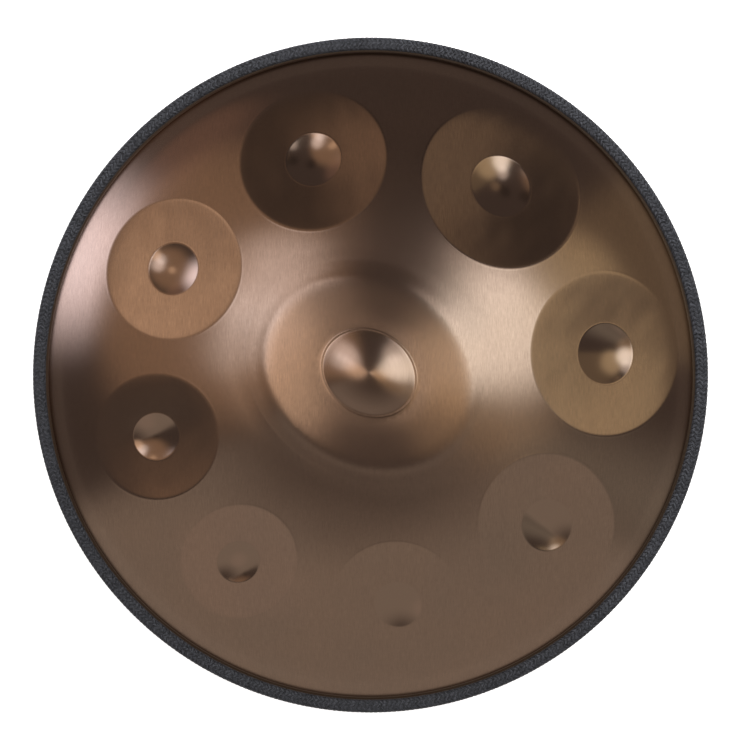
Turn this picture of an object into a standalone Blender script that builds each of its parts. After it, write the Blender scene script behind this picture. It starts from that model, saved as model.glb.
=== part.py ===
"""Handpan: two pressed steel shells, bonded flange to flange, with a braided trim round the edge.

The ding side faces up (+Z). The origin is on the axis, level with the ring that the pan rests on.
Bearings run anticlockwise from +X, seen from above. Everything is in metres.
"""

import math

import bmesh
import bpy
from mathutils import Vector
from mathutils.geometry import delaunay_2d_cdt

MM = 0.001

# Sheet, bond and clearances
SHEET = 1.2 * MM
BOND = 0.6 * MM
GAP = 0.3 * MM
FACETS = 64

# Dome that both shells are drawn to; outside the wall radius it runs straight down to the flange
DOME_RADIUS = 267.5 * MM
DOME_RISE = 114.0 * MM
DOME_POWER = 0.7
WALL_RADIUS = 254.8 * MM
FLAT_RADIUS = 268.4 * MM
FLANGE_FILLET = 2.0 * MM
FLANGE_RADIUS = 276.5 * MM

# Braided trim over its rubber channel
RIM_RADIUS = 280.0 * MM
RIM_INNER = 268.8 * MM
RIM_HALF_HEIGHT = 5.5 * MM
RIM_OUTER_ROUND = 3.6 * MM
RIM_INNER_ROUND = 2.6 * MM
BRAID = 1.4 * MM
CHANNEL = 1.5 * MM

# Port in the bottom shell, and the ring that it rests on
LAND_OUTER = 64.0 * MM
LAND_INNER = 61.0 * MM
PORT_RADIUS = 52.0 * MM
NECK_TOP = 30.0 * MM

# Ding: a flattened field on the crown, with a low shoulder round it and a dome in its middle
DING_TURN = math.radians(149)
DING_FIELD = (90.0 * MM, 75.0 * MM)
DING_FLATNESS = 0.25
SHOULDER_RISE = 1.1 * MM
SHOULDER_START = 0.88
SHOULDER_END = 1.2
DING_DOME = (38.0 * MM, 31.9 * MM)
DING_DOME_RISE = 7.2 * MM
DING_DOME_POWER = 1.7

# Tone fields, lowest note first: bearing, distance, half length, half width, bearing of the length.
# They are pressed a little past flat, so that each is faintly dished.
FIELDS = (
    (55.0, 185.2 * MM, 69.0 * MM, 63.0 * MM, 120.0),
    (4.8, 191.6 * MM, 65.8 * MM, 61.7 * MM, 89.0),
    (104.7, 178.9 * MM, 59.9 * MM, 58.4 * MM, 40.0),
    (319.5, 188.2 * MM, 57.4 * MM, 55.2 * MM, 104.0),
    (151.9, 179.4 * MM, 57.1 * MM, 55.7 * MM, 81.0),
    (277.0, 187.5 * MM, 52.3 * MM, 50.0 * MM, 147.0),
    (196.5, 179.3 * MM, 51.4 * MM, 50.1 * MM, 14.0),
    (235.2, 185.0 * MM, 48.2 * MM, 44.3 * MM, 37.0),
)
FIELD_PRESSING = 1.15
DIMPLE_RATIO = 0.37
DIMPLE_DEPTH_RATIO = 0.22

# Spacing of the top shell's facets
PLAN_SPACING = 19.0 * MM
PLAN_LIMIT = 246.0 * MM


def crown(r):
    """Height of the drawn dome over its base circle."""
    return DOME_RISE * (1 - (r / DOME_RADIUS) ** 2) ** DOME_POWER


def crown_slope(r):
    """Fall of the dome per unit of radius."""
    fullness = 1 - (r / DOME_RADIUS) ** 2
    return 2 * DOME_POWER * DOME_RISE * r / DOME_RADIUS**2 * fullness ** (DOME_POWER - 1)


WALL_SLOPE = crown_slope(WALL_RADIUS)
WALL_ANGLE = math.atan(WALL_SLOPE)
FOOT_RADIUS = FLAT_RADIUS - FLANGE_FILLET * math.sin(WALL_ANGLE)
FOOT_RISE = FLANGE_FILLET * (1 - math.cos(WALL_ANGLE))
WALL_RISE = FOOT_RISE + WALL_SLOPE * (FOOT_RADIUS - WALL_RADIUS)


def shell_rise(r):
    """Height of a shell's outer face over its flange, before the fields are pressed in."""
    if r >= FLAT_RADIUS:
        return 0.0
    if r >= FOOT_RADIUS:
        return FLANGE_FILLET - math.sqrt(FLANGE_FILLET**2 - (FLAT_RADIUS - r) ** 2)
    if r >= WALL_RADIUS:
        return FOOT_RISE + WALL_SLOPE * (FOOT_RADIUS - r)
    return WALL_RISE + crown(r) - crown(WALL_RADIUS)


REST_DEPTH = shell_rise(LAND_OUTER)
BOTTOM_FLANGE_Z = REST_DEPTH
JOINT_Z = BOTTOM_FLANGE_Z + SHEET + GAP + BOND / 2
TOP_FLANGE_Z = JOINT_Z + BOND / 2 + GAP + SHEET
STACK = SHEET + GAP + BOND / 2


class Oval:
    """An ellipse in plan: its centre, half length, half width and the bearing of its length."""

    def __init__(self, x, y, length, width, turn):
        self.centre = Vector((x, y))
        self.half = (length, width)
        self.turn = turn

    def point(self, angle, scale=1.0):
        """The point at an angle on the ellipse, or on a smaller copy of it."""
        across = Vector((self.half[0] * math.cos(angle), self.half[1] * math.sin(angle))) * scale
        return self.centre + Vector(rotated(across.x, across.y, self.turn))

    def ring(self, count, scale=1.0):
        return [self.point(2 * math.pi * i / count, scale) for i in range(count)]

    def reach(self, x, y):
        """0 at the centre, 1 on the edge."""
        u, v = rotated(x - self.centre.x, y - self.centre.y, -self.turn)
        return math.hypot(u / self.half[0], v / self.half[1])


def rotated(x, y, angle):
    c, s = math.cos(angle), math.sin(angle)
    return x * c - y * s, x * s + y * c


def flattening(edge):
    """How far the middle of a field is pressed in, to lie level with the edge."""
    around = [crown(p.length) for p in edge.ring(24)]
    return crown(edge.centre.length) - sum(around) / len(around)


class Field:
    """A flattened tone field with a dimple in its middle."""

    def __init__(self, bearing, distance, length, width, turn):
        x, y = rotated(distance, 0.0, math.radians(bearing))
        self.edge = Oval(x, y, length, width, math.radians(turn))
        self.dimple = Oval(x, y, length * DIMPLE_RATIO, width * DIMPLE_RATIO, math.radians(turn))
        self.flattening = FIELD_PRESSING * flattening(self.edge)
        self.dimple_depth = DIMPLE_DEPTH_RATIO * width * DIMPLE_RATIO

    def pressed(self, x, y):
        """How far the sheet lies under the plain dome."""
        reach = self.edge.reach(x, y)
        if reach >= 1:
            return 0.0
        bowl = max(0.0, 1 - self.dimple.reach(x, y) ** 2)
        return self.flattening * (1 - reach**2) + self.dimple_depth * bowl


DING_EDGE = Oval(0, 0, *DING_FIELD, DING_TURN)
DING_OVAL = Oval(0, 0, *DING_DOME, DING_TURN)
DING_FLATTENING = DING_FLATNESS * flattening(DING_EDGE)
TONE_FIELDS = [Field(*row) for row in FIELDS]


def smooth(start, end, value):
    t = min(1.0, max(0.0, (value - start) / (end - start)))
    return t * t * (3 - 2 * t)


def ding_rise(x, y):
    """How far the ding's flattened field, shoulder and dome stand over the plain crown."""
    reach = DING_EDGE.reach(x, y)
    flat = DING_FLATTENING * max(0.0, 1 - reach**2)
    shoulder = SHOULDER_RISE * (1 - smooth(SHOULDER_START, SHOULDER_END, reach))
    dome = DING_DOME_RISE * max(0.0, 1 - DING_OVAL.reach(x, y) ** DING_DOME_POWER)
    return shoulder + dome - flat


def top_face(x, y):
    """Height of the top shell's outer face over its flange."""
    pressed = sum(field.pressed(x, y) for field in TONE_FIELDS)
    return shell_rise(math.hypot(x, y)) + ding_rise(x, y) - pressed


def clear_scene():
    for obj in list(bpy.data.objects):
        bpy.data.objects.remove(obj, do_unlink=True)


def new_collection(name):
    collection = bpy.data.collections.new(name)
    bpy.context.scene.collection.children.link(collection)
    return collection


def new_material(name, colour, metallic, roughness):
    material = bpy.data.materials.new(name)
    material.use_nodes = True
    shader = material.node_tree.nodes["Principled BSDF"]
    shader.inputs["Base Color"].default_value = (*colour, 1.0)
    shader.inputs["Metallic"].default_value = metallic
    shader.inputs["Roughness"].default_value = roughness
    return material


def new_object(name, mesh, material, height, collection):
    mesh.materials.append(material)
    obj = bpy.data.objects.new(name, mesh)
    obj.location.z = height
    collection.objects.link(obj)
    return obj


def add_screw(obj):
    """Turn the object's profile once round Z."""
    screw = obj.modifiers.new("turn", "SCREW")
    screw.axis = "Z"
    screw.steps = screw.render_steps = FACETS
    screw.use_merge_vertices = True
    screw.merge_threshold = 0.00001


def add_sheet(obj):
    """Give an open surface the thickness of the steel, on the side away from its normals."""
    sheet = obj.modifiers.new("sheet", "SOLIDIFY")
    sheet.thickness = SHEET
    sheet.offset = -1
    sheet.use_even_offset = True


def profile_mesh(name, points, closed):
    """A mesh of edges through (radius, height) points."""
    mesh = bpy.data.meshes.new(name)
    count = len(points)
    edges = [(i, (i + 1) % count) for i in range(count if closed else count - 1)]
    mesh.from_pydata([(r, 0.0, z) for r, z in points], edges, [])
    return mesh


def arc(centre, radius, start, end, steps):
    """Points on an arc of a profile, from one angle to another in degrees."""
    angles = [math.radians(start + (end - start) * i / steps) for i in range(steps + 1)]
    return [(centre[0] + radius * math.cos(a), centre[1] + radius * math.sin(a)) for a in angles]


def shade(obj, angle):
    obj.data.shade_smooth()
    obj.data.set_sharp_from_angle(angle=math.radians(angle))


def fillet_radii():
    """Radii across the fillet, from the flange to the foot of the wall."""
    return [FLAT_RADIUS + (FOOT_RADIUS - FLAT_RADIUS) * i / 3 for i in range(4)]


def wall_rings():
    """Radii of the rings round the edge of the top shell, from the flange inwards."""
    return [FLANGE_RADIUS, *fillet_radii(), WALL_RADIUS]


def plan_loops():
    """Closed loops of plan points that the top shell's facets must follow."""
    loops = [Oval(0, 0, r, r, 0).ring(FACETS) for r in wall_rings()]
    loops += [DING_EDGE.ring(40, s) for s in (SHOULDER_END, 1.0, SHOULDER_START)]
    loops += [DING_OVAL.ring(n, s) for n, s in ((36, 1.0), (24, 0.7), (12, 0.35))]
    for field in TONE_FIELDS:
        loops.append(field.edge.ring(44))
        loops += [field.dimple.ring(n, s) for n, s in ((24, 1.0), (14, 0.6))]
    return loops


def scattered_points(loops):
    """A triangular grid of points over the rest of the plan, clear of the loops."""
    taken = [p for loop in loops for p in loop]
    row_height = PLAN_SPACING * math.sqrt(3) / 2
    rows = math.ceil(PLAN_LIMIT / row_height)
    columns = math.ceil(PLAN_LIMIT / PLAN_SPACING)
    points = []
    for j in range(-rows, rows + 1):
        for i in range(-columns, columns + 1):
            point = Vector(((i + 0.5 * (j % 2)) * PLAN_SPACING, j * row_height))
            near = min((point - other).length for other in taken)
            if point.length < PLAN_LIMIT and near > 0.55 * PLAN_SPACING:
                points.append(point)
    points.append(Vector((0.0, 0.0)))
    points += [field.dimple.centre for field in TONE_FIELDS]
    return points


def make_top_shell(material, collection):
    """The ding side: facets laid out in plan, lifted to the pressed face, then given thickness."""
    loops = plan_loops()
    points, edges = [], []
    for loop in loops:
        first = len(points)
        points += loop
        edges += [(first + i, first + (i + 1) % len(loop)) for i in range(len(loop))]
    points += scattered_points(loops)
    flat, _, faces, *_ = delaunay_2d_cdt(points, edges, [], 0, 1e-7)
    mesh = bpy.data.meshes.new("top_shell")
    mesh.from_pydata([(p.x, p.y, top_face(p.x, p.y)) for p in flat], [], faces)
    obj = new_object("top_shell", mesh, material, TOP_FLANGE_Z, collection)
    add_sheet(obj)
    shade(obj, 20)


def bottom_profile():
    """Outer face of the bottom shell, from its flange down to the ring and up into the port."""
    steps = 9
    start = math.asin(LAND_OUTER / WALL_RADIUS)
    turns = [math.pi / 2 + (start - math.pi / 2) * i / steps for i in range(steps + 1)]
    bowl = [WALL_RADIUS * math.sin(turn) for turn in turns]
    face = [(r, -shell_rise(r)) for r in [FLANGE_RADIUS, *fillet_radii(), *bowl]]
    roll = LAND_INNER - PORT_RADIUS
    lip = arc((LAND_INNER, roll - REST_DEPTH), roll, -90, -180, 3)
    return face + lip + [(PORT_RADIUS, NECK_TOP - REST_DEPTH)]


def make_bottom_shell(material, collection):
    """The port side: a turned sheet with a rolled neck."""
    mesh = profile_mesh("bottom_shell", bottom_profile(), closed=False)
    obj = new_object("bottom_shell", mesh, material, BOTTOM_FLANGE_Z, collection)
    add_screw(obj)
    add_sheet(obj)


def make_glue(material, collection):
    """The adhesive between the flanges, with the bead squeezed out on the inside."""
    half = BOND / 2
    outer = FLANGE_RADIUS - GAP
    bead = FLAT_RADIUS - 2.1 * MM
    profile = [(outer, half), (outer, -half), (FLAT_RADIUS, -half), (bead, -0.7 * MM)]
    profile += [(bead - 1.5 * MM, -0.9 * MM), (bead - 2.2 * MM, 0.0), (bead - 1.5 * MM, 0.9 * MM)]
    profile += [(bead, 0.7 * MM), (FLAT_RADIUS, half)]
    mesh = profile_mesh("flange_glue", profile, closed=True)
    add_screw(new_object("flange_glue", mesh, material, JOINT_Z, collection))


def make_channel(material, collection):
    """The rubber channel that grips both flanges."""
    slot = STACK + GAP
    half = slot + CHANNEL
    outer = RIM_RADIUS - BRAID - GAP
    inner = RIM_INNER + BRAID + GAP
    web = FLANGE_RADIUS + GAP
    edge = CHANNEL / 2
    corner = 1.5 * MM
    profile = [(inner + edge, half), (outer - corner, half), (outer, half - corner)]
    profile += [(outer, corner - half), (outer - corner, -half), (inner + edge, -half)]
    profile += [(inner, edge - half), (inner + edge, -slot), (web, -slot)]
    profile += [(web, slot), (inner + edge, slot), (inner, half - edge)]
    mesh = profile_mesh("rim_channel", profile, closed=True)
    add_screw(new_object("rim_channel", mesh, material, JOINT_Z, collection))


def braid_outline(offset, steps):
    """Section of the trim, from under its inner edge round the outside to over its inner edge."""
    top = RIM_HALF_HEIGHT - offset
    outer, inner = RIM_RADIUS - offset, RIM_INNER + offset
    big, small = RIM_OUTER_ROUND - offset, RIM_INNER_ROUND - offset
    foot = STACK + GAP
    upper = [(inner, foot)] + arc((inner + small, top - small), small, 180, 90, steps)
    upper += arc((outer - big, top - big), big, 90, 0, steps + 1)
    return upper + [(r, -z) for r, z in reversed(upper)]


def make_braid(material, collection):
    """The braided sleeve over the channel, as one plain sleeve of its outer shape."""
    profile = braid_outline(0.0, 2) + list(reversed(braid_outline(BRAID, 1)))
    mesh = profile_mesh("rim_braid", profile, closed=True)
    add_screw(new_object("rim_braid", mesh, material, JOINT_Z, collection))


def main():
    clear_scene()
    collection = new_collection("handpan")
    steel = new_material("bronzed_steel", (0.60, 0.42, 0.30), 1.0, 0.32)
    cord = new_material("braided_cord", (0.035, 0.04, 0.05), 0.0, 0.7)
    rubber = new_material("black_rubber", (0.012, 0.012, 0.013), 0.0, 0.6)
    epoxy = new_material("grey_epoxy", (0.25, 0.25, 0.24), 0.0, 0.45)
    make_top_shell(steel, collection)
    make_bottom_shell(steel, collection)
    make_glue(epoxy, collection)
    make_channel(rubber, collection)
    make_braid(cord, collection)


main()
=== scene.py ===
import math

import bpy
import numpy as np
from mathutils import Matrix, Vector
from mathutils.geometry import delaunay_2d_cdt
from mathutils.kdtree import KDTree


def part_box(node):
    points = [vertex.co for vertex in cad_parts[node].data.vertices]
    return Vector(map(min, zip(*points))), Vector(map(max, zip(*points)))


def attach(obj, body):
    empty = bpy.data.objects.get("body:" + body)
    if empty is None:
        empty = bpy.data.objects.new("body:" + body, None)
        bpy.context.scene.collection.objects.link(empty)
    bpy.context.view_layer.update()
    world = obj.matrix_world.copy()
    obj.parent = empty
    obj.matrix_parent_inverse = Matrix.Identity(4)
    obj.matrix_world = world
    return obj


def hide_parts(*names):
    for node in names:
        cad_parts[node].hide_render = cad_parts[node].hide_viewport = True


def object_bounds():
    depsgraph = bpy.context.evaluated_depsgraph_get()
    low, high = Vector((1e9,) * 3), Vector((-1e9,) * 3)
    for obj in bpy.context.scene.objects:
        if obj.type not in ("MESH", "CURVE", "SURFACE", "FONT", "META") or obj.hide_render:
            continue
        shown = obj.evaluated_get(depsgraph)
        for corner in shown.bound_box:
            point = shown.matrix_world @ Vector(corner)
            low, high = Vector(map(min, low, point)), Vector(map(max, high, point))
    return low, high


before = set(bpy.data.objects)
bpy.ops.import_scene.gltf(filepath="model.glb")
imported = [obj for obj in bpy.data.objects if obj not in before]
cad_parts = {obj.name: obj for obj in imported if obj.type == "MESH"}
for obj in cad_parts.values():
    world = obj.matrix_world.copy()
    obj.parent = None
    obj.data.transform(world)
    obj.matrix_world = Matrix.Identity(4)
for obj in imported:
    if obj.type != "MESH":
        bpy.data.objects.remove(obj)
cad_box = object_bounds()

# A handpan seen from straight above: fine pressed shells, a braid of single strands round the
# rim, brushed bronze steel, and a studio of soft panels that the camera doesn't see. Metres, +Z
# up; bearings run anticlockwise from +X. The plan sizes are the ones that the CAD was drawn to.
# The pressing of the top shell differs from the CAD's by up to 1.4 mm, so that the steel mirrors
# the studio more nearly as in the photo.

MM = 0.001
ROOT = "root"

# ---------------------------------------------------------------- sizes
SHEET = 1.2 * MM
DOME_RADIUS = 267.5 * MM
DOME_RISE = 114.0 * MM
DOME_POWER = 0.7
WALL_RADIUS = 254.8 * MM
FLAT_RADIUS = 268.4 * MM
FLANGE_FILLET = 2.0 * MM
FLANGE_RADIUS = 276.5 * MM

RIM_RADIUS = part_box("rim_braid")[1][0]
RIM_HALF_HEIGHT = (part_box("rim_braid")[1][2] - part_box("rim_braid")[0][2]) / 2
RIM_INNER = 268.8 * MM
RIM_OUTER_ROUND = 3.6 * MM
RIM_INNER_ROUND = 2.6 * MM
JOINT_Z = (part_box("rim_braid")[1][2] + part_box("rim_braid")[0][2]) / 2
TOP_FLANGE_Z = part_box("top_shell")[0][2] + SHEET
BOTTOM_FLANGE_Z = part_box("bottom_shell")[1][2] - SHEET

LAND_OUTER = 64.0 * MM
LAND_INNER = 61.0 * MM
PORT_RADIUS = 52.0 * MM
NECK_TOP = 30.0 * MM

DING_TURN = math.radians(149)
DING_FIELD = (90.0 * MM, 75.0 * MM)
DING_FLATNESS = 0.25
# The field stands on a wide low shoulder with a small step in it; where they start and end are
# shares of the field's size
SHOULDER_RISE = 0.68 * MM
SHOULDER_START = 0.864
SHOULDER_END = 1.28
STEP_RISE = 0.42 * MM
STEP_START = 0.94
STEP_END = 1.05
DING_DOME = (38.0 * MM, 31.9 * MM)
DING_DOME_RISE = 7.2 * MM
DING_DOME_POWER = 1.65
# The ding's field bulges a little between its dome and a low ridge along the shoulder; the
# places and widths are shares of the field's size
LAND_BULGE = 0.55 * MM
LAND_MIDDLE = 0.7
LAND_HALF_WIDTH = 0.3
LAND_ROUNDING = 0.08
RIDGE_RISE = 0.42 * MM
RIDGE_PLACE = 0.95
RIDGE_WIDTH = 0.16
# A fine bead runs round the foot of the ding's dome
BEAD_RISE = 0.15 * MM
BEAD_WIDTH = 0.75 * MM

# Tone fields: bearing, distance, half length, half width, bearing of the length; then how far the
# field is pressed (1 makes it flat), how deep its dimple is as a share of the dimple's half width,
# and how much deeper the field gets towards +X and +Y
FIELDS = (
    (55.0, 185.2 * MM, 69.0 * MM, 63.0 * MM, 120.0, 1.30, 0.22, 0.0, 0.0),
    (4.8, 191.6 * MM, 65.8 * MM, 61.7 * MM, 89.0, 1.15, 0.22, 0.30, 0.0),
    (104.7, 178.9 * MM, 59.9 * MM, 58.4 * MM, 40.0, 1.30, 0.22, 0.06, 0.0),
    (319.5, 188.2 * MM, 57.4 * MM, 55.2 * MM, 104.0, 1.00, 0.21, 0.0, 0.0),
    (151.9, 179.4 * MM, 57.1 * MM, 55.7 * MM, 81.0, 1.20, 0.22, -0.15, 0.12),
    (277.0, 187.5 * MM, 52.3 * MM, 50.0 * MM, 147.0, 1.15, 0.17, 0.0, 0.0),
    (196.5, 179.3 * MM, 51.4 * MM, 50.1 * MM, 14.0, 1.20, 0.22, 0.0, -0.2),
    (235.2, 185.0 * MM, 48.2 * MM, 44.3 * MM, 37.0, 1.15, 0.22, 0.0, 0.0),
)
FIELD_POWER = 1.8
DIMPLE_RATIO = 0.37

# How softly the creases are rounded, as half widths
FIELD_CREASE = 0.9 * MM
DIMPLE_CREASE = 0.5 * MM
DING_CREASE = 0.4 * MM
SHOULDER_CREASE = 2.0 * MM

# Height of the fine raised lines outside the creases, and how many line widths they lie outside
FIELD_LIP = 0.05 * MM
DIMPLE_LIP = 0.05 * MM
LIP_PLACE = 1.3

# Spacing of the points that a field's edge height is averaged over
EDGE_SAMPLES = 12 * MM

# Where the hammer marks fade out: shares of a field's size, and radii on the dome
FIELD_MARKS_FADE = (0.8, 1.0)
DOME_MARKS_FADE = (200 * MM, 255 * MM)


# ---------------------------------------------------------------- shape of the shells
def crown(r):
    """Height of the drawn dome over its base circle."""
    return DOME_RISE * np.clip(1 - (r / DOME_RADIUS) ** 2, 0, 1) ** DOME_POWER


def crown_slope(r):
    fullness = 1 - (r / DOME_RADIUS) ** 2
    return 2 * DOME_POWER * DOME_RISE * r / DOME_RADIUS**2 * fullness ** (DOME_POWER - 1)


WALL_SLOPE = crown_slope(WALL_RADIUS)
WALL_ANGLE = math.atan(WALL_SLOPE)
FOOT_RADIUS = FLAT_RADIUS - FLANGE_FILLET * math.sin(WALL_ANGLE)
FOOT_RISE = FLANGE_FILLET * (1 - math.cos(WALL_ANGLE))
WALL_RISE = FOOT_RISE + WALL_SLOPE * (FOOT_RADIUS - WALL_RADIUS)


def shell_rise(r):
    """Height of a shell's outer face over its flange, without the tone fields."""
    r = np.asarray(r, dtype=float)
    inward = FLAT_RADIUS - np.clip(r, FOOT_RADIUS, FLAT_RADIUS)
    fillet = FLANGE_FILLET - np.sqrt(FLANGE_FILLET**2 - inward**2)
    wall = FOOT_RISE + WALL_SLOPE * (FOOT_RADIUS - r)
    dome = WALL_RISE + crown(np.minimum(r, WALL_RADIUS)) - crown(WALL_RADIUS)
    return np.where(r >= FOOT_RADIUS, fillet, np.where(r >= WALL_RADIUS, wall, dome))


def smooth(start, end, value):
    t = np.clip((value - start) / (end - start), 0, 1)
    return t * t * (3 - 2 * t)


def rounded_clip(value, softness):
    """Like max(value, 0), with the corner rounded over the softness."""
    return (value + np.sqrt(value**2 + softness**2)) / 2


def rotated(x, y, angle):
    c, s = math.cos(angle), math.sin(angle)
    return x * c - y * s, x * s + y * c


class Oval:
    """An ellipse in plan: its centre, half length, half width and the bearing of its length."""

    def __init__(self, x, y, length, width, turn):
        self.x, self.y, self.length, self.width, self.turn = x, y, length, width, turn

    def ring(self, spacing, inset=0.0):
        """Evenly spaced plan points on the ellipse, or on one a little way inside it."""
        a, b = self.length - inset, self.width - inset
        count = max(8, round(math.pi * (a + b) / spacing))
        angle = np.linspace(0, 2 * math.pi, count, endpoint=False)
        u, v = rotated(a * np.cos(angle), b * np.sin(angle), self.turn)
        return np.column_stack((self.x + u, self.y + v))

    def reach(self, x, y):
        """0 at the centre, 1 on the edge."""
        u, v = rotated(x - self.x, y - self.y, -self.turn)
        return np.hypot(u / self.length, v / self.width)

    def bowl(self, x, y, crease, power=2.0):
        """1 at the centre, falling to 0 on the edge and outside it."""
        return rounded_clip(1 - self.reach(x, y) ** power, power * crease / self.width)

    def lip(self, x, y, width):
        """1 along a fine raised line just outside the edge, falling to 0 on both sides of it."""
        outside = (self.reach(x, y) - 1) * self.width
        return np.exp(-((outside / width - LIP_PLACE) ** 2))


def flattening(edge):
    """How far the middle of a field is pressed in, to lie level with the edge."""
    around = np.hypot(*edge.ring(EDGE_SAMPLES).T)
    return crown(math.hypot(edge.x, edge.y)) - crown(around).mean()


class Field:
    """A flattened tone field with a dimple in its middle, from a row of FIELDS."""

    def __init__(self, bearing, distance, length, width, turn, pressing, depth, *lean):
        x, y = rotated(distance, 0.0, math.radians(bearing))
        turn = math.radians(turn)
        self.edge = Oval(x, y, length, width, turn)
        self.dimple = Oval(x, y, length * DIMPLE_RATIO, width * DIMPLE_RATIO, turn)
        self.flattening = pressing * flattening(self.edge)
        self.lean = lean
        self.dimple_depth = depth * width * DIMPLE_RATIO

    def pressed(self, x, y):
        aside = self.lean[0] * (x - self.edge.x) + self.lean[1] * (y - self.edge.y)
        flat = self.flattening * self.edge.bowl(x, y, FIELD_CREASE, FIELD_POWER)
        flat *= 1 + aside / self.edge.width
        lips = FIELD_LIP * self.edge.lip(x, y, FIELD_CREASE)
        lips += DIMPLE_LIP * self.dimple.lip(x, y, DIMPLE_CREASE)
        return flat + self.dimple_depth * self.dimple.bowl(x, y, DIMPLE_CREASE) - lips


TONE_FIELDS = [Field(*row) for row in FIELDS]
DING_EDGE = Oval(0, 0, *DING_FIELD, DING_TURN)
DING_OVAL = Oval(0, 0, *DING_DOME, DING_TURN)
DING_FLATTENING = DING_FLATNESS * flattening(DING_EDGE)


def ding_rise(x, y):
    """How far the ding's flattened field, shoulder and dome stand over the plain crown."""
    flat = DING_FLATTENING * DING_EDGE.bowl(x, y, SHOULDER_CREASE)
    reach = DING_EDGE.reach(x, y)
    shoulder = SHOULDER_RISE * (1 - smooth(SHOULDER_START, SHOULDER_END, reach))
    shoulder += STEP_RISE * (1 - smooth(STEP_START, STEP_END, reach))
    ridge = RIDGE_RISE * np.exp(-(((reach - RIDGE_PLACE) / RIDGE_WIDTH) ** 2))
    from_middle = (reach - LAND_MIDDLE) / LAND_HALF_WIDTH
    bulge = LAND_BULGE * rounded_clip(1 - from_middle**2, LAND_ROUNDING)
    dome = DING_DOME_RISE * DING_OVAL.bowl(x, y, DING_CREASE, DING_DOME_POWER)
    bead = BEAD_RISE * DING_OVAL.lip(x, y, BEAD_WIDTH)
    return shoulder + ridge + bulge + dome + bead - flat


class HammerMarks:
    """Very shallow waves left in the sheet by the tuner's hammer."""

    def __init__(self, seed, count, shortest, longest, depth):
        rng = np.random.default_rng(seed)
        bearing = rng.uniform(0, 2 * math.pi, count)
        number = 2 * math.pi / rng.uniform(shortest, longest, count)
        self.waves = np.column_stack((number * np.cos(bearing), number * np.sin(bearing)))
        self.phase = rng.uniform(0, 2 * math.pi, count)
        self.depth = depth / math.sqrt(count)

    def height(self, x, y):
        total = np.zeros_like(x)
        for (kx, ky), phase in zip(self.waves, self.phase):
            total += np.sin(kx * x + ky * y + phase)
        return self.depth * total


FIELD_MARKS = HammerMarks(seed=5, count=14, shortest=16 * MM, longest=40 * MM, depth=0.035 * MM)
DOME_MARKS = HammerMarks(seed=9, count=10, shortest=50 * MM, longest=120 * MM, depth=0.10 * MM)


def top_face(x, y):
    """Height of the top shell's outer face over its flange."""
    r = np.hypot(x, y)
    pressed = sum(field.pressed(x, y) for field in TONE_FIELDS)
    in_field = sum(1 - smooth(*FIELD_MARKS_FADE, field.edge.reach(x, y)) for field in TONE_FIELDS)
    marks = FIELD_MARKS.height(x, y) * in_field
    marks += DOME_MARKS.height(x, y) * (1 - smooth(*DOME_MARKS_FADE, r))
    return shell_rise(r) + ding_rise(x, y) - pressed + marks


def normals_of(height, x, y):
    """Unit normals of a height field, from its slopes."""
    step = 0.02 * MM
    slope_x = (height(x + step, y) - height(x - step, y)) / (2 * step)
    slope_y = (height(x, y + step) - height(x, y - step)) / (2 * step)
    normal = np.column_stack((-slope_x, -slope_y, np.ones_like(x)))
    return normal / np.linalg.norm(normal, axis=1, keepdims=True)


# ---------------------------------------------------------------- making pieces
SHARP_ANGLE = math.radians(35)


def new_piece(name, mesh, materials, node):
    """Link a mesh as a piece on the pan's one body, standing for a CAD node."""
    for material in materials:
        mesh.materials.append(material)
    piece = bpy.data.objects.new(name, mesh)
    bpy.context.scene.collection.objects.link(piece)
    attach(piece, ROOT)
    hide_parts(node)
    return piece


def store_values(mesh, name, values):
    """Keep one number per point for the materials to read."""
    mesh.attributes.new(name, "FLOAT", "POINT").data.foreach_set("value", values)


def grid_faces(rows, columns):
    """Quads over a grid of points, numbered row by row, that closes on itself both ways."""
    i, j = np.arange(rows)[:, None], np.arange(columns)[None, :]
    below, beside = (i + 1) % rows, (j + 1) % columns
    corners = (i * columns + j, i * columns + beside, below * columns + beside, below * columns + j)
    return np.stack(corners, -1).reshape(-1, 4)


def turned_mesh(name, profile, segments):
    """Turn a closed profile of (radius, height) points once round Z."""
    profile = np.asarray(profile)
    angle = np.linspace(0, 2 * math.pi, segments, endpoint=False)
    r, z = profile[None, :, 0], profile[None, :, 1]
    x, y = r * np.cos(angle)[:, None], r * np.sin(angle)[:, None]
    points = np.stack(np.broadcast_arrays(x, y, z), -1).reshape(-1, 3)
    mesh = bpy.data.meshes.new(name)
    mesh.from_pydata(points.tolist(), [], grid_faces(segments, len(profile)).tolist())
    mesh.shade_smooth()
    mesh.set_sharp_from_angle(angle=SHARP_ANGLE)
    return mesh


def arc(centre, radius, start, end, steps):
    """Points of a profile on an arc, from one angle to another in degrees."""
    angle = np.radians(np.linspace(start, end, steps + 1))
    return np.column_stack((centre[0] + radius * np.cos(angle), centre[1] + radius * np.sin(angle)))


def offset_profile(profile, distance):
    """A profile moved to the left of its own direction."""
    along = np.gradient(profile, axis=0)
    along /= np.linalg.norm(along, axis=1, keepdims=True)
    return profile + distance * np.column_stack((-along[:, 1], along[:, 0]))


# ---------------------------------------------------------------- top shell
PLAN_SPACING = 3.3 * MM
FINE_SPACING = 2.0 * MM
EDGE_SPACING = 2.4 * MM
WALL_SPACING = 2.6 * MM
FILLET_LOOPS = 6
WALL_LOOPS = 5

# How far inside a crease its loops lie, in widths of the crease
SHOULDER_INSETS = (-1.4, -0.7, 0, 0.7, 1.4)
CREASE_INSETS = (-3.3, -2.6, -2.0, -1.5, -1.0, -0.5, 0, 0.7, 1.5, 2.6)

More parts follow.
